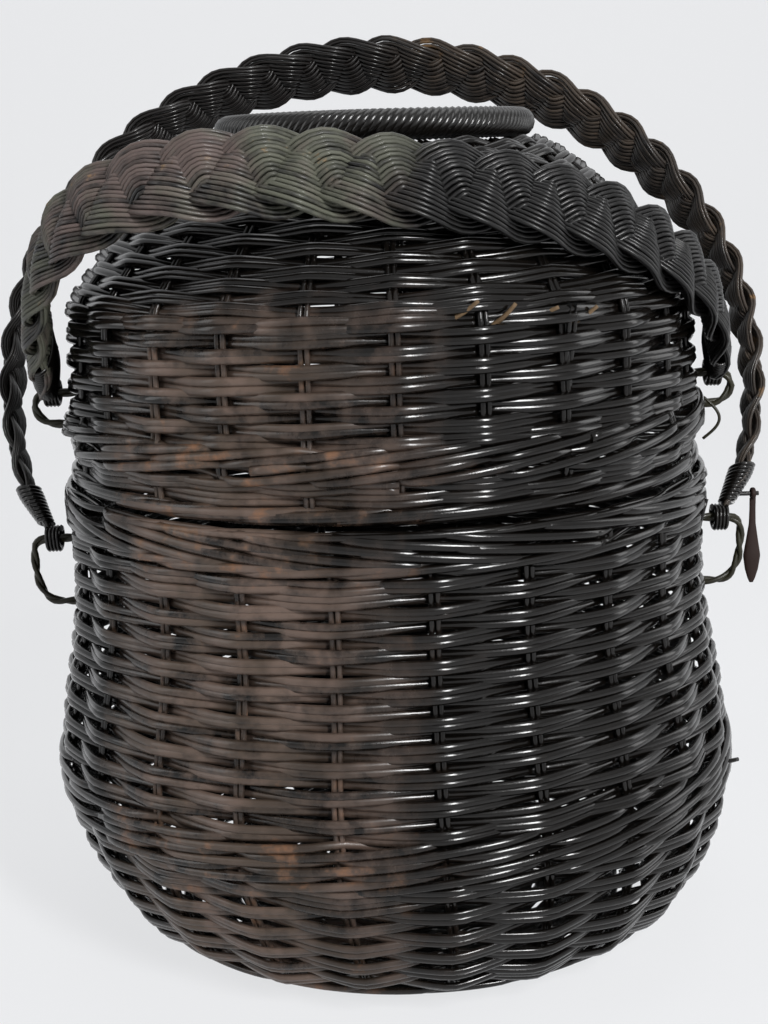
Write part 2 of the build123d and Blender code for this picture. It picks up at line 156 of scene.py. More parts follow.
# up the lid: its rim, out to the wale, in to the waist and up to the shoulder
lid_side = rounded([
    (RIM_RADIUS, LID_BOTTOM), (LID_WALE_RADIUS - 3.5, LID_BOTTOM + 13),
    (LID_WALE_RADIUS - 1.0, LID_BOTTOM + 24), (LID_WALE_RADIUS - 4.0, LID_BOTTOM + 36),
    (WAIST_RADIUS + 0.6, WAIST_HEIGHT), (WAIST_RADIUS, SHOULDER_HEIGHT - 20),
    (WAIST_RADIUS - 0.5, SHOULDER_HEIGHT - 4),
])
dome_share = np.linspace(0.04, 1.0, 40)
dome = [(WAIST_RADIUS + (CROWN_RADIUS - WAIST_RADIUS) * s,
         SHOULDER_HEIGHT + DOME_RISE * (1 - (1 - s) ** DOME_FULLNESS)) for s in dome_share]
lid_wall = wall_from([(r - LID_WALL_MIDDLE, z) for r, z in lid_side[:-1]]
                     + [(r - DOME_IN, z - DOME_DOWN) for r, z in dome])


def closed_through(corners, steps=10):
    """A smooth closed curve through a few corners, in any number of dimensions."""
    corners = np.array(corners, float)
    t = np.arange(steps)[:, None] / steps
    parts = []
    for k in range(len(corners)):
        a, b, c, d = (corners[(k + n - 1) % len(corners)] for n in range(4))
        parts.append(0.5 * (2 * b + (c - a) * t + (2 * a - 5 * b + 4 * c - d) * t ** 2
                            + (3 * b - a - 3 * c + d) * t ** 3))
    parts.append(corners[:1])
    return np.concatenate(parts)


# ---------------------------------------------------------------- rods
def wander(turn, size):
    """A slow uneven drift along a rod, as hand-laid rods have."""
    a, b, c = rng.uniform(0, 2 * math.pi, 3)
    return size * (0.5 * np.sin(2.3 * turn + a) + 0.3 * np.sin(5.1 * turn + b)
                   + 0.2 * np.sin(11.0 * turn + c))


def ring_points(wall, angle, m, out, along):
    """Points at angles round the basket, a run up a wall, and a distance out of it."""
    r, z, out_r, out_z = wall(m + along)
    r = r + out * out_r
    z = z + out * out_z
    up = np.stack([-out_z * np.sin(angle), out_z * np.cos(angle), out_r], 1)
    return np.stack([r * np.sin(angle), -r * np.cos(angle), z], 1), up


def rod(points, radius, up, crest=0.0, squeeze=1.0):
    """One rod: its middle line, its radius at each point, which way its wide side lies, and how
    far it lies on the outside. A squeezed rod is wider along up than across it."""
    points = np.asarray(points, float)
    count = len(points)
    return (points, np.broadcast_to(np.asarray(radius, float), (count,)).copy(),
            np.broadcast_to(np.asarray(up, float), (count, 3)).copy(),
            np.broadcast_to(np.asarray(crest, float), (count,)).copy(), squeeze)


def over_and_under(turn):
    """A rod's height over one stake and behind the next, nearly straight between them."""
    sharp = 0.975
    return np.arcsin(sharp * np.cos(turn)) / math.asin(sharp)


def woven(wall, low, high, stakes, first, size, slew=2, lift=WEAVE_LIFT, rise=0.35, samples=8):
    """Rods laid in pairs that wind up a wall, over one stake and behind the next."""
    turns = max(1, round((high - low) / (slew * 2 * size)))
    course = (high - low) / turns          # how far the pair climbs in one round
    thick = course / slew / 2
    rods = []
    for k in range(slew):
        start = -1.0             # one level round closes the wedge under the spiral
        while start < turns:
            length = rng.uniform(0.55, 1.15)       # in rounds of the basket
            stop = min(turns, start + length)
            # rods end behind a stake
            stop_index = math.ceil((stop * stakes - 1) / 2)
            stop = min(float(turns), (2 * stop_index + 1) / stakes)
            count = max(4, int((stop - start) * stakes * samples))
            turn = np.linspace(start, stop, count) * 2 * math.pi
            angle = first + turn
            phase = stakes * turn / 2
            m = low + course * (turn / (2 * math.pi)) + thick * (2 * k + 1)
            m = np.clip(m, low + thick * (2 * k + 1), high - thick * (2 * (slew - k) - 1))
            out = lift * over_and_under(phase) + wander(turn, 0.4)
            along = rise * np.sin(phase) + wander(turn, 0.7)
            share = np.linspace(0, 1, count)
            butt = rng.uniform(0.98, 1.1)          # a rod is thicker at its butt than at its tip
            radius = thick * (butt - 0.12 * share) * (1 + wander(turn * 3, 0.05))
            points, up = ring_points(wall, angle, m, out, along)
            rods.append(rod(points, radius, up, 0.5 + 0.5 * np.cos(phase), PRESSED))
            start = stop
    return rods


SLANT_STEPS, SLANT_SOFTENING = 240, 31
SLIDE_FROM, SLIDE_LENGTH = 5.6, 0.6      # near the end of a round, in radians


def waled(wall, low, high, stakes, first, size, strands=3, rounds=2, lift=3.6, rise=2.6, samples=7):
    """Rods that pass in front of several stakes and behind one, each a stake behind the last.
    Their long strokes slant up by rise, or down where it is below 0."""
    rods = []
    course = (high - low) / rounds
    q = np.arange(0, 1, 1 / SLANT_STEPS)
    front = (strands - 1) / strands        # the share of its way that a rod lies in front
    saw = np.where(q < front, -1 + 2 * q / front, 1 - 2 * (q - front) / (1 - front))
    kernel = np.hanning(SLANT_SOFTENING) / np.hanning(SLANT_SOFTENING).sum()
    saw = np.convolve(np.tile(saw, 3), kernel, "same")[SLANT_STEPS:2 * SLANT_STEPS]
    for level in range(rounds):
        for strand in range(strands):
            count = stakes * samples + 1
            offset = rng.uniform(0, 2 * math.pi)
            turn = np.linspace(0, 2 * math.pi, count)
            angle = first + turn + offset
            phase = ((turn + offset) * stakes / (2 * math.pi) / strands + strand / strands)
            blend = np.clip((turn - SLIDE_FROM) / SLIDE_LENGTH, 0, 1)    # its end slides behind its start
            place = phase % 1.0
            over = np.tanh(2.4 * (np.cos(2 * math.pi * (place - front / 2)) + math.cos(math.pi / strands)))
            m = low + course * (level + 0.5)
            along = rise * np.interp(place, q, saw) + wander(turn, 0.3) + 0.4 * blend
            out = lift * over + wander(turn, 0.3) - 0.6 * blend
            radius = size * (1.06 - 0.12 * turn / (2 * math.pi)) * (1 + wander(turn * 3, 0.04))
            points, up = ring_points(wall, angle, m, out, along)
            rods.append(rod(points, radius, up, np.clip(over, 0, 1), 1.12))
    return rods


def uprights(wall, low, high, stakes, first, size, steps=48):
    """Pairs of upright rods side by side."""
    rods = []
    for k in range(stakes):
        angle = first + 2 * math.pi * k / stakes
        m = np.linspace(low, high, steps)
        for side in (-1, 1):
            r, z, _, _ = wall(m)
            shift = side * size * 1.02 + wander(m / 40, 0.2)
            turned = angle + shift / r
            points, _ = ring_points(wall, turned, m, wander(m / 40, 0.25), 0)
            out = np.stack([np.sin(turned), -np.cos(turned), np.zeros(steps)], 1)
            rods.append(rod(points, size * rng.uniform(0.94, 1.06), out, 0.35))
    return rods


TWIST_STEPS = 14                         # points in one turn of a rope


def twisted(path, normal, strands, size, spread, pitch, crest=0.3):
    """Rods twisted round a flat line like a rope. The normal is square to the line's plane."""
    path = np.asarray(path, float)
    run = np.concatenate([[0.0], np.cumsum(np.linalg.norm(np.diff(path, axis=0), axis=1))])
    even = np.linspace(0, run[-1], max(12, int(run[-1] / pitch * TWIST_STEPS)))
    middle = np.stack([np.interp(even, run, path[:, n]) for n in range(3)], 1)
    tangent = np.gradient(middle, axis=0)
    closed = np.linalg.norm(path[0] - path[-1]) < 1e-6
    if closed:
        tangent[0] = tangent[-1] = middle[1] - middle[-2]
    side = np.cross(tangent, normal)
    side /= np.linalg.norm(side, axis=1)[:, None]
    rounds = run[-1] / pitch
    turn = 2 * math.pi * even / run[-1] * (round(rounds) if closed else rounds)
    rods = []
    for k in range(strands):
        a = (turn + 2 * math.pi * k / strands)[:, None]
        away = np.cos(a) * side + np.sin(a) * np.asarray(normal, float)
        rods.append(rod(middle + spread * away, size, away, crest))
    return rods


# ---------------------------------------------------------------- meshes
def piece(name, rods, material, body, replaces=(), sides=7):
    """Joins rods in one mesh. Each point knows its rod, its run along it and how far out it lies."""
    verts, faces, smooth, which, along, crests = [], [], [], [], [], []
    base = 0
    turn = 2 * math.pi * np.arange(sides) / sides
    for points, radii, up, crest, squeeze in rods:
        points = points.copy()
        points[:, 2] = np.maximum(points[:, 2], radii * max(squeeze, 1.0) + 0.1)   # rests on the floor
        if body == "basket":                 # the foot was woven a little to one side of the mouth
            low_share = np.clip(1 - points[:, 2] / BELLY_SHIFT_TOP, 0, 1)
            points[:, 0] += BELLY_SHIFT * low_share * low_share * (3 - 2 * low_share)
        points = points * METRES
        radii = radii * METRES
        tangent = np.gradient(points, axis=0)
        tangent /= np.linalg.norm(tangent, axis=1)[:, None] + 1e-12
        first = up - (up * tangent).sum(1)[:, None] * tangent
        first /= np.linalg.norm(first, axis=1)[:, None] + 1e-12
        second = np.cross(tangent, first)
        ring = (points[:, None] + radii[:, None, None]
                * (np.cos(turn)[None, :, None] * first[:, None] * squeeze
                   + np.sin(turn)[None, :, None] * second[:, None]))
        count = len(points)
        verts.append(ring.reshape(-1, 3))
        rows = base + np.arange(count - 1)[:, None] * sides
        i = (rows + np.arange(sides)[None, :]).ravel()
        j = (rows + (np.arange(sides)[None, :] + 1) % sides).ravel()
        quads = np.stack([i, i + sides, j + sides, j], 1)
        faces.extend(quads.tolist())
        faces.append(list(range(base, base + sides)))
        faces.append(list(range(base + (count - 1) * sides, base + count * sides))[::-1])
        smooth.extend([True] * len(quads) + [False, False])
        which.append(np.full(count * sides, rng.uniform()))
        run = np.concatenate([[0.0], np.cumsum(np.linalg.norm(np.diff(points, axis=0), axis=1))])
        along.append(np.repeat(run / METRES, sides))
        crests.append(np.repeat(crest, sides))
        base += count * sides
    mesh = bpy.data.meshes.new(name)
    mesh.from_pydata(np.concatenate(verts).tolist(), [], faces)
    mesh.polygons.foreach_set("use_smooth", smooth)
    for label, values in (("rod_number", which), ("rod_run", along), ("rod_crest", crests)):
        layer = mesh.attributes.new(label, "FLOAT", "POINT")
        layer.data.foreach_set("value", np.concatenate(values).astype(np.float32))
    mesh.materials.append(material)
    obj = bpy.data.objects.new(name, mesh)
    bpy.context.scene.collection.objects.link(obj)
    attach(obj, body)
    if replaces:
        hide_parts(*replaces)


# ---------------------------------------------------------------- materials
def linear(code):
    """An sRGB hex colour as Blender's linear one."""
    values = [int(code[n:n + 2], 16) / 255 for n in (1, 3, 5)]
    return tuple(v / 12.92 if v <= 0.04045 else ((v + 0.055) / 1.055) ** 2.4 for v in values) + (1.0,)


def add(tree, kind, settings=None, **links):
    """Adds a node with its settings. A link is a socket, a node (its first output) or a plain
    value; i0, i1 and so on name a socket by its number, and an underscore stands for a space."""
    made = tree.nodes.new(kind)
    for key, value in (settings or {}).items():
        setattr(made, key, value)
    for key, value in links.items():
        socket = made.inputs[int(key[1:])] if key[1:].isdigit() else made.inputs[key.replace("_", " ")]
        if isinstance(value, bpy.types.Node):
            value = value.outputs[0]
        if isinstance(value, bpy.types.NodeSocket):
            tree.links.new(value, socket)
        else:
            socket.default_value = value
    return made


MATH, MIX, NOISE, RANGE = "ShaderNodeMath", "ShaderNodeMix", "ShaderNodeTexNoise", "ShaderNodeMapRange"
TIMES, PLUS, LESS, MOST = ({"operation": key} for key in ("MULTIPLY", "ADD", "SUBTRACT", "MAXIMUM"))
COLOURS, SOFT_STEP = {"data_type": "RGBA"}, {"interpolation_type": "SMOOTHSTEP"}
EDGE_WOBBLE = {"angle": 0.34, "x": 0.045, "z": 0.03}     # how ragged a faded zone's edge is


def willow(name, stain, worn, bare, zone, rub=0.5, gloss=(0.15, 0.5), coat=0.15):
    """Willow rods stained black and varnished by hand.

    Where the varnish is whole it is deep black and wet-looking, with hard white glints. Where
    hands and sun wore it off, the rods are a dull grey-brown with no glint, and the bare tan
    wood shows on a few rubbed crests. Fine grain runs along each rod. A zone is a list of
    (what, where the wear starts, where it is full).
    """
    material = bpy.data.materials.new(name)
    material.use_nodes = True
    tree = material.node_tree
    tree.nodes.clear()
    place = add(tree, "ShaderNodeTexCoord").outputs["Object"]
    number, run, crest = (add(tree, "ShaderNodeAttribute", {"attribute_name": key}).outputs["Fac"]
                          for key in ("rod_number", "rod_run", "rod_crest"))
    x, y, z = add(tree, "ShaderNodeSeparateXYZ", Vector=place).outputs
    angle = add(tree, MATH, {"operation": "ARCTAN2"}, i0=x, i1=add(tree, MATH, TIMES, i0=y, i1=-1.0))
    # blotches 14 mm across, ragged edges 35 mm across, grit 1 mm across
    blotch = add(tree, NOISE, Vector=place, Scale=70.0, Detail=4.0, Roughness=0.65)
    ragged = add(tree, NOISE, Vector=place, Scale=28.0, Detail=3.0, Roughness=0.6)
    grit = add(tree, NOISE, Vector=place, Scale=900.0, Detail=2.0, Roughness=0.6)
    centred = add(tree, MATH, LESS, i0=ragged, i1=0.5)
    faded = 0.0
    for step, (what, start, full) in enumerate(zone):
        shift = add(tree, MATH, TIMES, i0=centred, i1=EDGE_WOBBLE[what] * 2)
        where = add(tree, MATH, PLUS, i0={"angle": angle, "x": x, "z": z}[what], i1=shift)
        part = add(tree, RANGE, SOFT_STEP, Value=where, From_Min=start, From_Max=full)
        faded = add(tree, MATH, TIMES, i0=faded, i1=part) if step else part
    # rods side by side differ, so one is worn while the next is still black
    uneven = add(tree, MATH, TIMES, i0=faded, i1=add(
        tree, RANGE, Value=add(tree, MATH, PLUS, i0=blotch, i1=add(tree, MATH, TIMES, i0=number, i1=0.35)),
        From_Min=0.42, From_Max=0.72))
    # grain: streaks 12 mm long along the rod
    key = add(tree, "ShaderNodeCombineXYZ", X=add(tree, MATH, TIMES, i0=run, i1=0.08),
              Y=add(tree, MATH, TIMES, i0=number, i1=97.0))
    streak = add(tree, NOISE, Vector=key, Scale=1.0, Detail=3.0, Roughness=0.6)
    black = add(tree, MIX, COLOURS, i0=streak, i6=linear(stain[0]), i7=linear(stain[1])).outputs[2]
    grey = add(tree, MIX, COLOURS, i0=add(tree, RANGE, Value=ragged, From_Min=0.42, From_Max=0.58),
               i6=linear(worn[0]), i7=linear(worn[1])).outputs[2]
    base = add(tree, MIX, COLOURS, i0=uneven, i6=black, i7=grey).outputs[2]
    rubbed = add(tree, MATH, TIMES, i0=add(tree, MATH, TIMES, i0=crest, i1=uneven), i1=add(
        tree, RANGE, Value=blotch, From_Min=0.66 - 0.12 * rub, From_Max=0.78 - 0.1 * rub))
    base = add(tree, MIX, COLOURS, i0=rubbed, i6=base, i7=linear(bare)).outputs[2]
    dull = add(tree, MATH, PLUS, i0=add(tree, MATH, TIMES, i0=uneven, i1=0.75),
               i1=add(tree, MATH, TIMES, i0=grit, i1=0.25))
    rough = add(tree, RANGE, Value=dull, To_Min=gloss[0], To_Max=gloss[1])
    height = add(tree, MATH, PLUS, i0=streak, i1=add(tree, MATH, TIMES, i0=grit, i1=0.4))
    bump = add(tree, "ShaderNodeBump", Strength=0.25, Distance=0.0003, Height=height)
    # fresh varnish is near 1.5: old, thin and hazed, it gives back less
    shader = add(tree, "ShaderNodeBsdfPrincipled", Base_Color=base, Roughness=rough, Normal=bump,
                 IOR=1.36, Coat_Weight=coat, Coat_Roughness=0.08)
    add(tree, "ShaderNodeOutputMaterial", Surface=shader)
    return material


DEGREES = math.pi / 180
# where each finish is worn: round the basket by angle, along the handles by x, up the lid by z
BODY_WORN = [("angle", -58 * DEGREES, -42 * DEGREES), ("angle", 12 * DEGREES, -24 * DEGREES)]
BORDER_WORN = BODY_WORN[:1] + [("angle", -2 * DEGREES, -20 * DEGREES)]
LID_WORN = BODY_WORN + [("z", 0.336, 0.312)]
LID_HANDLE_WORN = [("x", 0.03, -0.02)]
CARRY_WORN = [("x", -0.01, 0.05)]
KEPT = [("x", 2.0, 3.0)]                 # nowhere: the stain is whole
BLACK, BROWN = ("#060505", "#120f0c"), ("#63534a", "#4a3e35")
side_willow = willow("black_stained_willow_weavers", BLACK, BROWN, "#7d5a42", BODY_WORN, rub=0.3)
wale_willow = willow("black_stained_willow_wales", BLACK, BROWN, "#7d5a42", BODY_WORN, rub=1.0)
stake_willow = willow("black_stained_willow_stakes", BLACK, BROWN, "#8a6040", BODY_WORN, rub=0.9)
lid_side_willow = willow("black_stained_lid_weavers", BLACK, BROWN, "#7d5a42", LID_WORN, rub=0.3)
lid_stake_willow = willow("black_stained_lid_stakes", BLACK, BROWN, "#8a6040", LID_WORN, rub=0.9)
# the fine rods of the handles are rubbed to a satin by hands, and those on the lid bleached by the sun
carry_willow = willow("satin_black_fine_rods", ("#0d0c0c", "#1f1b19"), ("#3f362e", "#332d28"), "#8a6a45",
                      CARRY_WORN, gloss=(0.34, 0.58), coat=0.2)
lid_willow = willow("bleached_fine_rods", ("#0a0a0a", "#1a1919"), ("#54554a", "#5c504c"), "#9a7a52",
                    LID_HANDLE_WORN, rub=0.1, gloss=(0.32, 0.62), coat=0.1)
binding_willow = willow("split_willow_binding", BLACK, BROWN, "#7d5a42", KEPT, gloss=(0.3, 0.5), coat=0.3)
border_willow = willow("black_stained_willow_border", BLACK, BROWN, "#76573f", BORDER_WORN, rub=0.7)
withy_willow = willow("twisted_olive_withy", ("#16150e", "#302d1c"), BROWN, "#7d5a42", KEPT,
                      gloss=(0.38, 0.6), coat=0.1)
peg_wood = willow("carved_reddish_wood", ("#1d110e", "#2a1914"), BROWN, "#7d5a42", KEPT,
                  gloss=(0.6, 0.75), coat=0.0)
pale_willow = willow("broken_pale_rod_ends", ("#4a3a2c", "#7a6448"), BROWN, "#b59a72", KEPT,
                     gloss=(0.6, 0.8), coat=0.0)

# ---------------------------------------------------------------- the basket
STAKES = (BODY_STAKES, BODY_FIRST)
UPSETT_START = 4.0                       # run up the wall from the floor to the first rods


def run_between(wall, node):
    """Where a band starts and ends, as runs up its wall."""
    return wall.run_at(low_of(node)), wall.run_at(high_of(node))


hi = body_wall.run_at(high_of("upsett_wale"))
piece("upsett_rods", waled(body_wall, UPSETT_START, hi, *STAKES, WALE_ROD, rounds=4, rise=2.2),
      wale_willow, "basket", ["upsett_wale"])
lo, hi = run_between(body_wall, "lower_side_weave")
piece("lower_side_rods", woven(body_wall, lo, hi, *STAKES, SIDE_ROD), side_willow,
      "basket", ["lower_side_weave"])
lo, hi = run_between(body_wall, "bulge_wale")
piece("bulge_wale_rods", waled(body_wall, lo, hi, *STAKES, WALE_ROD, rounds=3, lift=4.6, rise=4.0),
      wale_willow, "basket", ["bulge_wale"])
lo, hi = run_between(body_wall, "upper_side_weave")
piece("upper_side_rods", woven(body_wall, lo, hi, *STAKES, SIDE_ROD), side_willow,
      "basket", ["upper_side_weave"])
lo, hi = run_between(body_wall, "neck_wale")
piece("neck_wale_rods", waled(body_wall, lo, hi, *STAKES, WALE_ROD, rounds=1, lift=3.8, rise=2.0),
      wale_willow, "basket", ["neck_wale"])
# slanting strokes, and a level rod along the mouth, which all stay under the rim of the lid
lo, hi = run_between(body_wall, "body_border")
piece("body_border_rods",
      waled(body_wall, lo - 1.5, hi - 5.0, *STAKES, BORDER_ROD, rounds=2, lift=4.0, rise=-4.2)
      + waled(body_wall, hi - 5.4, hi - 1.4, *STAKES, FINISHING_ROD, rounds=1, lift=3.2, rise=0.5),
      border_willow, "basket", ["body_border"])
piece("body_stake_rods",
      uprights(body_wall, body_wall.run_at(6.0), body_wall.run_at(BODY_TOP - 6), *STAKES, STAKE_ROD),
      stake_willow, "basket", ["body_stakes"])

# ---------------------------------------------------------------- the lid
LID = (LID_STAKES, LID_FIRST)
lo, hi = run_between(lid_wall, "lid_rim_border")
piece("lid_rim_rods", waled(lid_wall, lo + 0.5, hi, *LID, RIM_ROD, strands=4, rounds=1, lift=3.2, rise=2.0),
      wale_willow, "lid", ["lid_rim_border"])
lo, hi = run_between(lid_wall, "lid_skirt_weave")
piece("lid_skirt_rods", woven(lid_wall, lo, hi, *LID, FINE_ROD, lift=FINE_LIFT), lid_side_willow,
      "lid", ["lid_skirt_weave"])
lo, hi = run_between(lid_wall, "lid_wale")
piece("lid_wale_rods", waled(lid_wall, lo, hi, *LID, WALE_ROD, rounds=2, lift=4.4, rise=3.6), wale_willow,
      "lid", ["lid_wale"])
lo, hi = run_between(lid_wall, "lid_side_weave")
piece("lid_side_rods", woven(lid_wall, lo, hi, *LID, SIDE_ROD), lid_side_willow,
      "lid", ["lid_side_weave"])
piece("lid_dome_rods", woven(lid_wall, hi, lid_wall.length - 4, *LID, SIDE_ROD, lift=FINE_LIFT),
      lid_side_willow, "lid", ["lid_dome_weave"])
piece("lid_stake_rods", uprights(lid_wall, 3.0, lid_wall.length - 2, *LID, STAKE_ROD), lid_stake_willow,
      "lid", ["lid_stakes"])


# ---------------------------------------------------------------- the plaited handles
# the carrying handle is the bail, and the handle on the lid is the grip
BAIL_HALF_WIDTH, BAIL_HALF_HEIGHT, BAIL_RISE = 196.5, 181.0, 82.0
BAIL_LEAN, BAIL_PIVOT, BAIL_EYE = math.radians(25.0), 200.0, 173.0
GRIP_HALF, GRIP_FULLNESS, GRIP_SKEW = 167.0, 2.6, 0.19    # it stands higher on its left
GRIP_LEAN, GRIP_PIVOT, GRIP_EYE = math.radians(-51.5), 276.0, 168.5
PLAIT_START = 22.0                       # under this the rods of a handle run together to its eye
BIND_START = 9.0                         # run from the eye's middle to the binding


def bail_arch(share):
    start = -math.asin(BAIL_RISE / BAIL_HALF_HEIGHT)
    turn = start + share * (math.pi - 2 * start)
    return BAIL_HALF_WIDTH * np.cos(turn), BAIL_RISE + BAIL_HALF_HEIGHT * np.sin(turn)


def grip_arch(share):
    turn = math.pi * share
    power = 2 / GRIP_FULLNESS
    x = GRIP_HALF * np.sign(np.cos(turn)) * np.abs(np.cos(turn)) ** power
    up = GRIP_HALF * np.clip(np.sin(turn), 0, 1) ** power
    return x, up * (1 - GRIP_SKEW * x / GRIP_HALF)


def arch_line(arch, start, eye):
    """The middle line of a handle by its run, from the right eye over to the left one."""
    x, up = arch(np.linspace(0, 1, 3000))
    keep = up >= start
    x, up = x[keep], up[keep]
    tail = np.linspace(0, 1, 60)[:-1]
    x = np.concatenate([eye + (x[0] - eye) * tail, x, (-eye + (x[-1] + eye) * tail)[::-1]])
    up = np.concatenate([up[0] * tail, up, (up[-1] * tail)[::-1]])
    run = np.concatenate([[0.0], np.cumsum(np.hypot(np.diff(x), np.diff(up)))])
    even = np.linspace(0, run[-1], 1500)
    x, up = np.interp(even, run, x), np.interp(even, run, up)
    kernel = np.hanning(41) / np.hanning(41).sum()
    soft_x = np.convolve(np.pad(x, 20, "edge"), kernel, "valid")
    soft_up = np.convolve(np.pad(up, 20, "edge"), kernel, "valid")
    return even, soft_x, soft_up


def leaned(x, y, up, lean, pivot):
    """Points or directions of an upright handle, leant back by an angle about its pivot."""
    c, s = math.cos(lean), math.sin(lean)
    return np.stack([x, y * c + up * s, -y * s + up * c + pivot], 1)


STRAND_SWING, STRAND_HALF = 0.155, 0.295     # shares of the plait's width: sideways, and half a strand
STRAND_LIFT, LAYER_LIFT = 0.26, 0.075    # shares of its thickness: up and down, and a layer off the middle


def plaited(line, lean, pivot, cycle, width, thick, end_share, roll, across, fine, tail=24.0, samples=22):
    """Three flat strands of fine rods, each over and under the others, gathered at both ends.
    Each strand has two layers of rods side by side, one fewer in the inner one."""
    even, mid_x, mid_up = line
    total = even[-1]
    rods = []
    tangent_x, tangent_up = np.gradient(mid_x, even), np.gradient(mid_up, even)
    norm = np.hypot(tangent_x, tangent_up)
    out_x, out_up = tangent_up / norm, -tangent_x / norm
    count = int(total / cycle * samples)
    s = np.linspace(4.0, total - 4.0, count)
    share = np.clip((s - tail) / (total - 2 * tail), 0, 1)
    size = end_share + (1 - end_share) * np.sin(math.pi * share) ** 0.6
    gather = np.clip(np.minimum(s, total - s) / tail, 0, 1)
    gather = gather * gather * (3 - 2 * gather)
    swing = STRAND_SWING * width * size * gather
    lift = STRAND_LIFT * thick * size * gather
    half = STRAND_HALF * width * size * (0.45 + 0.55 * gather)
    turned = roll * np.sin(math.pi * share) ** 1.5
    for strand in range(3):
        phase = -2 * math.pi * s / cycle - 2 * math.pi * strand / 3
        side = swing * np.tanh(1.1 * np.sin(phase)) / math.tanh(1.1)      # runs flat along each edge
        slope = np.gradient(side, s)
        n_s, n_w = -slope / np.hypot(1, slope), 1 / np.hypot(1, slope)
        rise = lift * np.sin(2 * phase)
        for layer, number in ((1, across), (-1, across - 1)):
            for k in range(number):
                o = (k - (number - 1) / 2) / ((across - 1) / 2)
                drift = wander(s / 25, 0.28)
                off = o * half + drift
                # the middle rods of a strand lie proudest
                crown = (1 - o * o) * 0.10 * thick * size - 0.05 * thick * size
                above = rise + layer * (LAYER_LIFT * thick * size * (0.6 + 0.4 * gather))
                above = above + layer * crown * 0.8 + wander(s / 18, 0.22)
                at = np.clip(s + off * n_s, 0, total)
                across_at = side + off * n_w
                out = above * np.cos(turned) - across_at * np.sin(turned)
                back = above * np.sin(turned) + across_at * np.cos(turned)
                x = np.interp(at, even, mid_x) + out * np.interp(at, even, out_x)
                up = np.interp(at, even, mid_up) + out * np.interp(at, even, out_up)
                points = leaned(x, back, up, lean, pivot)
                radius = fine * (0.72 + 0.28 * size) * rng.uniform(0.92, 1.08)
                outward = leaned(np.interp(at, even, out_x), 0 * at, np.interp(at, even, out_up), lean, 0.0)
                crest = np.clip(0.5 + rise / (lift + 1e-6) * 0.5, 0, 1)
                rods.append(rod(points, radius, outward, crest))
    return rods


bail_line = arch_line(bail_arch, PLAIT_START, BAIL_EYE)
grip_line = arch_line(grip_arch, PLAIT_START, GRIP_EYE)
bail = plaited(bail_line, BAIL_LEAN, BAIL_PIVOT, cycle=70.0, width=36.0, thick=15.5, end_share=0.52,
               roll=math.radians(28.0), across=10, fine=0.98)
grip = plaited(grip_line, GRIP_LEAN, GRIP_PIVOT, cycle=80.0, width=47.0, thick=18.0, end_share=0.7,
               roll=0.0, across=13, fine=1.05)
for rods, name, node, finish, body, slot in (
        (bail, "carrying_strand", "handle_strand", carry_willow, "carrying_handle", "carrying_plait"),
        (grip, "lid_strand", "lid_handle_strand", lid_willow, "lid_handle", "lid_plait")):
    third = len(rods) // 3
    for k, letter in enumerate("abc"):
        piece(f"{name}_{letter}", rods[k * third:(k + 1) * third], finish, body,
              [f"{node}_{letter}"], sides=6)


# ---------------------------------------------------------------- rings, eyes and bindings
COIL_RADIUS, COIL_TURNS, COIL_WIDTH = 5.3, 4, 7.2
BIND_ROD, BIND_PITCH, BIND_STEPS = 1.15, 2.1, 26


def end_eye(line, lean, pivot, side, eye, wide, deep, length):
    """The end of a handle: coils round its ring, and a close binding up its gathered rods."""
    turn = np.linspace(0, 2 * math.pi * COIL_TURNS, 120)
    away = np.stack([0 * turn, np.sin(turn), np.cos(turn)], 1)
    coil = away * COIL_RADIUS + np.array([0, 0, pivot])
    coil[:, 0] = side * (eye - COIL_WIDTH / 2 + COIL_WIDTH * turn / turn[-1])
    rods = [rod(coil, BIND_ROD, away, 0.3, 1.55)]
    even, mid_x, mid_up = line
    s = np.linspace(BIND_START, length, int((length - BIND_START) / BIND_PITCH * BIND_STEPS))
    turn = 2 * math.pi * (s - BIND_START) / BIND_PITCH
    at = s if side > 0 else even[-1] - s
    swell = 0.6 + 0.4 * np.clip((s - BIND_START) / 16, 0, 1)      # slimmer next to the coils
    x = np.interp(at, even, mid_x) + deep * swell * np.cos(turn)
    back = wide * swell * np.sin(turn)
    up = np.interp(at, even, mid_up)
    rods.append(rod(leaned(x, back, up, lean, pivot), BIND_ROD,
                    leaned(np.cos(turn), np.sin(turn), 0 * turn, lean, 0.0), 0.3, 1.1))
    return rods


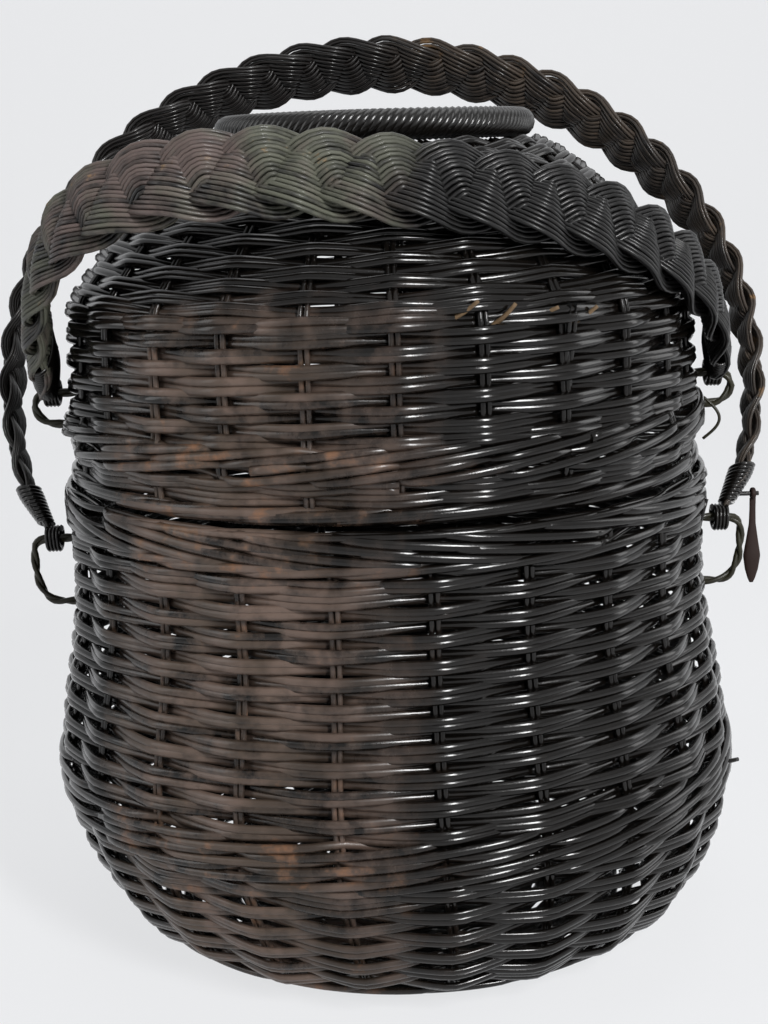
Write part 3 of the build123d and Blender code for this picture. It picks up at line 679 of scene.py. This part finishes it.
PEG_MIDDLE, PEG_HANG = 191.5, 12.0       # the peg's x, and its pin's distance up the carrying handle
PEG_RING = 2.35
PIN_START = 178.0
WITHY_INSET = 2.4                        # from a ring's box to the middle of its twisted withy
pin_y, pin_z = PEG_HANG * math.sin(BAIL_LEAN), BAIL_PIVOT + PEG_HANG * math.cos(BAIL_LEAN)
for side, name in ((-1, "left"), (1, "right")):
    for node, body in ((f"handle_ring_{name}", "basket"), (f"lid_ring_{name}", "lid")):
        low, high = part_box(node)
        ends = sorted((abs(low.x) / METRES, abs(high.x) / METRES))
        root, reach = ends[0], ends[1] - WITHY_INSET
        top, bottom = high.z / METRES - WITHY_INSET, low.z / METRES + WITHY_INSET
        drop = top - bottom
        # out of the weave, round a close corner where the eye hangs, down and back in
        line = rounded([(root, top), (reach - 9, top), (reach - 2.4, top - 1.4), (reach, top - 6.0),
                        (reach - 0.4, top - 0.5 * drop), (reach - 2.4, top - 0.72 * drop),
                        (reach - 9, bottom + 0.08 * drop), (root, bottom + 0.06 * drop)], 8)
        piece(f"{node}_withy",
              twisted([(side * px, 0.0, pz) for px, pz in line], (0, 1, 0),
                      strands=2, size=1.45, spread=0.9, pitch=24.0),
              withy_willow, body, [node])
    rods = end_eye(bail_line, BAIL_LEAN, BAIL_PIVOT, side, BAIL_EYE, wide=9.0, deep=5.6, length=30.0)
    if side > 0:
        pin_x = np.linspace(PIN_START, PEG_MIDDLE + 3.0, 8)
        rods.append(rod(np.stack([pin_x, 0 * pin_x + pin_y, 0 * pin_x + pin_z], 1), 1.2, (0, 0, 1), 0.0))
    piece(f"carrying_eye_{name}", rods, binding_willow, "carrying_handle", [f"handle_eye_{name}"])
    rods = end_eye(grip_line, GRIP_LEAN, GRIP_PIVOT, side, GRIP_EYE, wide=15.0, deep=5.8,
                   length=46.0 if side < 0 else 32.0)
    piece(f"lid_eye_{name}", rods, binding_willow, "lid_handle", [f"lid_handle_eye_{name}"])

# the peg: a small ring on its pin, a slim neck, and a flat carved leaf, widest below its middle
turn = np.linspace(0, 2 * math.pi, 33)
ring = np.stack([0 * turn + PEG_MIDDLE, pin_y + PEG_RING * np.cos(turn), pin_z + PEG_RING * np.sin(turn)], 1)
share = np.linspace(0, 1, 40)
peg_top = pin_z - 2.4
peg_z = peg_top - (peg_top - low_of("closing_peg")) * share
blade = np.stack([0 * share + PEG_MIDDLE, 0 * share + pin_y, peg_z], 1)
profile = np.interp(share, [0, 0.12, 0.3, 0.5, 0.68, 0.84, 0.95, 1],
                    [0.62, 0.6, 0.68, 1.2, 1.7, 1.3, 0.75, 0.35])
piece("carved_peg", [rod(ring, 0.8, (1, 0, 0), 0.0, 1.6), rod(blade, profile, (1, 0, 0), 0.0, 2.7)],
      peg_wood, "closing_peg", ["closing_peg"], sides=14)

# the hinge: two loops rooted in the border, and a withy bar tied to the rim of the lid
HINGE_OUT, HINGE_UP, HINGE_ROD = 171.0, 238.0, 1.05
LOOP = closed_through([(158.5, 225.6), (167.0, 229.4), (175.0, 234.0), (176.2, 238.6), (172.0, 243.2),
                       (166.6, 240.4), (164.2, 234.5), (158.9, 229.6)])
WRAP = closed_through([(150.6, 241.8), (150.6, 245.8), (160.0, 245.6), (168.4, 243.2), (174.0, 240.6),
                       (174.2, 235.8), (168.6, 235.9), (164.6, 239.6), (157.0, 241.0)])


def hinge_turns(outline, places, shifts):
    """Turns of withy side by side, at places along the hinge."""
    return [rod([(place + shift, py, pz) for py, pz in outline], HINGE_ROD, (1, 0, 0), 0.3)
            for place in places for shift in shifts]


piece("hinge_withy_loops", hinge_turns(LOOP, (-18.0, 18.0), (-1.9, 0.0, 1.9)), withy_willow,
      "basket", ["hinge_loops"])
bar = [(px, HINGE_OUT, HINGE_UP) for px in np.linspace(-42, 42, 40)]
piece("hinge_withy_bar", twisted(bar, (0, 0, 1), strands=2, size=1.3, spread=1.05, pitch=15.0)
      + hinge_turns(WRAP, (-36.0, 0.0, 36.0), (-3.0, -1.0, 1.0, 3.0)), withy_willow,
      "lid", ["lid_hinge_bar"])

# ---------------------------------------------------------------- crown and base
CROWN_BORDER, DISH_RADIUS, DISH_HEIGHT = 72.0, 71.0, 402.5
INNER_STAKES = 13
turn = np.linspace(0, 2 * math.pi, 361)
crown_middle = (low_of("lid_crown_border") + high_of("lid_crown_border")) / 2
ring = np.stack([CROWN_BORDER * np.cos(turn), CROWN_BORDER * np.sin(turn), 0 * turn + crown_middle], 1)
ring[-1] = ring[0]
# a thick rope round the crown, wound on a core
piece("crown_border_rods",
      twisted(ring, (0, 0, 1), strands=7, size=2.3, spread=4.7, pitch=24.0, crest=0.5)
      + [rod(ring, 4.2, (0, 0, 1), 0.0)], binding_willow, "lid", ["lid_crown_border"])
dish = wall_from([(r, DISH_HEIGHT + 2.5 * (1 - r / DISH_RADIUS)) for r in np.linspace(DISH_RADIUS, 4.0, 50)])
inner = dish.length - 34.0               # fewer sticks near the middle
crown_rods = (woven(dish, 0.0, inner, LID_STAKES, LID_FIRST, 1.6, slew=1, lift=2.0)
              + woven(dish, inner, dish.length - 6.0, INNER_STAKES, 0.3, 1.5, slew=1, lift=1.8)
              + uprights(dish, 0.0, inner + 2.0, LID_STAKES, LID_FIRST, 1.1)
              + uprights(dish, inner - 4.0, dish.length - 2.0, INNER_STAKES, 0.3, 0.9))
for k, a in enumerate((0.2, 1.0, 1.8, 2.6)):       # short sticks cross where the weave ends
    stick = [(r * math.cos(a), r * math.sin(a), 405.2 + 0.5 * k) for r in np.linspace(-14.0, 14.0, 9)]
    crown_rods.append(rod(stick, 1.9, (0, 0, 1), 0.4))
piece("crown_weave_rods", crown_rods, lid_side_willow, "lid", ["lid_crown_weave"])
BASE_HEIGHT, BASE_SPLIT = 8.6, 36.0      # past the split, the base is woven on as many stakes as the body
BASE_STICKS, STICK_HALF, STICK_ROD = 6, 112.0, 2.2
ground = wall_from([(r, BASE_HEIGHT) for r in np.linspace(6.0, 116.0, 60)])
piece("base_weave_rods", woven(ground, 2.0, BASE_SPLIT, INNER_STAKES, 0.2, 1.7, slew=1, lift=1.8)
      + woven(ground, BASE_SPLIT, 106.0, BODY_STAKES, BODY_FIRST, 1.78, slew=1, lift=1.9), side_willow,
      "basket", ["base_weave"])
rods = []
for k in range(BASE_STICKS):             # each stick lies a little higher than the last
    a = math.pi * k / BASE_STICKS + 0.1
    r = np.linspace(-STICK_HALF, STICK_HALF, 60)
    line = np.stack([r * math.sin(a), -r * math.cos(a), 0 * r + 6.2 + 0.35 * k], 1)
    rods.append(rod(line, STICK_ROD, (0, 0, 1), 0.0))
piece("base_stick_rods", rods, stake_willow, "basket", ["base_sticks"])


# ---------------------------------------------------------------- loose and broken rods
def loose(wall, angle, height, turn, out, length, size):
    """A short rod end that leaves the weave: it starts inside the wall and ends out of it."""
    m = wall.run_at(height)
    t = np.linspace(0, 1, 10)
    r, z, out_r, out_z = wall(m + length * math.sin(turn) * t)
    away = -2.0 + (out + 5.0) * t ** 1.5
    r, z = r + away * out_r, z + away * out_z
    a = angle * DEGREES + length * math.cos(turn) * t / r
    return rod(np.stack([r * np.sin(a), -r * np.cos(a), z], 1), size * (1 - 0.35 * t), (0, 0, 1), 0.3)


# angle in degrees, height, which way along the wall, how far out, length
BROKEN = ((11, 322, 0.4, 3.0, 12), (18, 318, 0.7, 3.4, 11), (25, 321, 0.2, 3.2, 10), (33, 316, 0.6, 3.0, 11))
piece("broken_lid_rods", [loose(lid_wall, *end, 1.3) for end in BROKEN], pale_willow, "lid")
piece("proud_lid_stake",
      [loose(lid_wall, 31.0 + shift, 286, math.pi / 2, 2.4, 38.0, 1.5) for shift in (0.0, 1.1)],
      lid_stake_willow, "lid")
piece("loose_body_rods",
      [loose(body_wall, 68, 86, 0.1, 7.0, 14, 1.6), loose(body_wall, 72, 176, 1.4, 3.0, 44, 1.6),
       loose(body_wall, 40, 99, 0.4, 4.0, 12, 1.5)], side_willow, "basket")
t = np.linspace(0, 1, 24)                # a thin loop that hangs out of the lid, clear of its handle
bulge = np.sin(math.pi * t)
low_loop = np.stack([160.5 + 7.5 * bulge, -18.0 - 3.0 * bulge, 266.0 - 21.0 * t], 1)
piece("thin_withy_loop", [rod(low_loop, 0.8, (0, 1, 0), 0.2)], withy_willow, "lid")


# ---------------------------------------------------------------- floor, lamps and camera
FLOOR_SHOWN = 0.80                       # how much of the floor is its plain colour where it is seen
WORLD_LIGHT, WORLD_SHOWN = 0.06, 0.7     # what lights the object, and what is seen behind it


def seen(tree):
    """1 for rays from the camera, a reflection or through glass, and 0 for light on the object."""
    rays = add(tree, "ShaderNodeLightPath").outputs
    return add(tree, MATH, MOST, i0=rays["Is Camera Ray"], i1=add(
        tree, MATH, MOST, i0=rays["Is Glossy Ray"], i1=rays["Is Transmission Ray"]))


def floor():
    """A sheet of pale paper that curves up behind the object."""
    material = bpy.data.materials.new("pale_paper_floor")
    material.use_nodes = True
    shader = material.node_tree.nodes["Principled BSDF"]
    shader.inputs["Base Color"].default_value = linear("#e6e7e9")
    shader.inputs["Roughness"].default_value = 0.9
    shader.inputs["Specular IOR Level"].default_value = 0.2
    # where it is seen, the paper shows mostly its own pale colour and keeps a soft shadow
    tree = material.node_tree
    share = add(tree, MATH, TIMES, i0=seen(tree), i1=FLOOR_SHOWN)
    glow = add(tree, "ShaderNodeEmission", Color=linear("#f2f3f5"), Strength=1.0)
    both = add(tree, "ShaderNodeMixShader", i0=share, i1=shader, i2=glow)
    tree.links.new(both.outputs[0], tree.nodes["Material Output"].inputs["Surface"])
    half, front, back, high, bend = 3.0, -3.0, 2.2, 4.0, 0.8
    outline = [(front, 0.0), (back - bend, 0.0)]
    for k in range(1, 13):
        turn = k / 12 * math.pi / 2
        outline.append((back - bend + bend * math.sin(turn), bend - bend * math.cos(turn)))
    outline.append((back, high))
    verts = [(side * half, y, z) for y, z in outline for side in (-1, 1)]
    faces = [(2 * k, 2 * k + 1, 2 * k + 3, 2 * k + 2) for k in range(len(outline) - 1)]
    mesh = bpy.data.meshes.new("studio_sweep")
    mesh.from_pydata(verts, [], faces)
    mesh.materials.append(material)
    for polygon in mesh.polygons:
        polygon.use_smooth = True
    sweep = bpy.data.objects.new("studio_sweep", mesh)
    bpy.context.scene.collection.objects.link(sweep)


def lamp(name, place, aim, size, power):
    """A soft rectangular lamp, turned to what it lights."""
    data = bpy.data.lights.new(name, "AREA")
    data.shape = "RECTANGLE"
    data.size, data.size_y = size
    data.energy = power
    obj = bpy.data.objects.new(name, data)
    bpy.context.scene.collection.objects.link(obj)
    obj.location = place
    look = Vector(aim) - Vector(place)
    obj.rotation_euler = look.to_track_quat("-Z", "Y").to_euler()


floor()
MIDDLE = (0.0, 0.0, 0.22)
lamp("narrow_window", (0.95, -1.75, 1.35), MIDDLE, (0.3, 1.0), 52)
lamp("left_window", (-1.9, -0.5, 0.9), MIDDLE, (0.8, 1.6), 10)
lamp("right_window", (1.9, 0.2, 0.8), MIDDLE, (0.6, 1.4), 7)
lamp("top_softbox", (0.1, 0.4, 2.2), MIDDLE, (1.4, 1.2), 9)

world = bpy.data.worlds.new("studio")
world.use_nodes = True
tree = world.node_tree
strength = add(tree, RANGE, Value=seen(tree), To_Min=WORLD_LIGHT, To_Max=WORLD_SHOWN)
background = tree.nodes["Background"]
background.inputs["Color"].default_value = linear("#e6e8ea")
tree.links.new(strength.outputs[0], background.inputs["Strength"])
bpy.context.scene.world = world

PICTURE_HEIGHT = 1024
FOCAL_PIXELS = 1624.0
SENSOR = 36.0
CAMERA_PLACE = (-0.00132, -0.824, 0.3904)
LOOKS_DOWN, ROLL = 12.46, -1.85          # in degrees
camera_data = bpy.data.cameras.new("camera")
camera_data.sensor_width = SENSOR
camera_data.sensor_height = SENSOR
camera_data.sensor_fit = "VERTICAL"
camera_data.lens = FOCAL_PIXELS / PICTURE_HEIGHT * SENSOR
camera_data.clip_start = 0.05
camera = bpy.data.objects.new("camera", camera_data)
bpy.context.scene.collection.objects.link(camera)
camera.matrix_world = (Matrix.Translation(CAMERA_PLACE)
                       @ Matrix.Rotation(math.radians(90 - LOOKS_DOWN), 4, "X")
                       @ Matrix.Rotation(math.radians(ROLL), 4, "Z"))
bpy.context.scene.camera = camera
bpy.context.scene.view_settings.view_transform = "Standard"
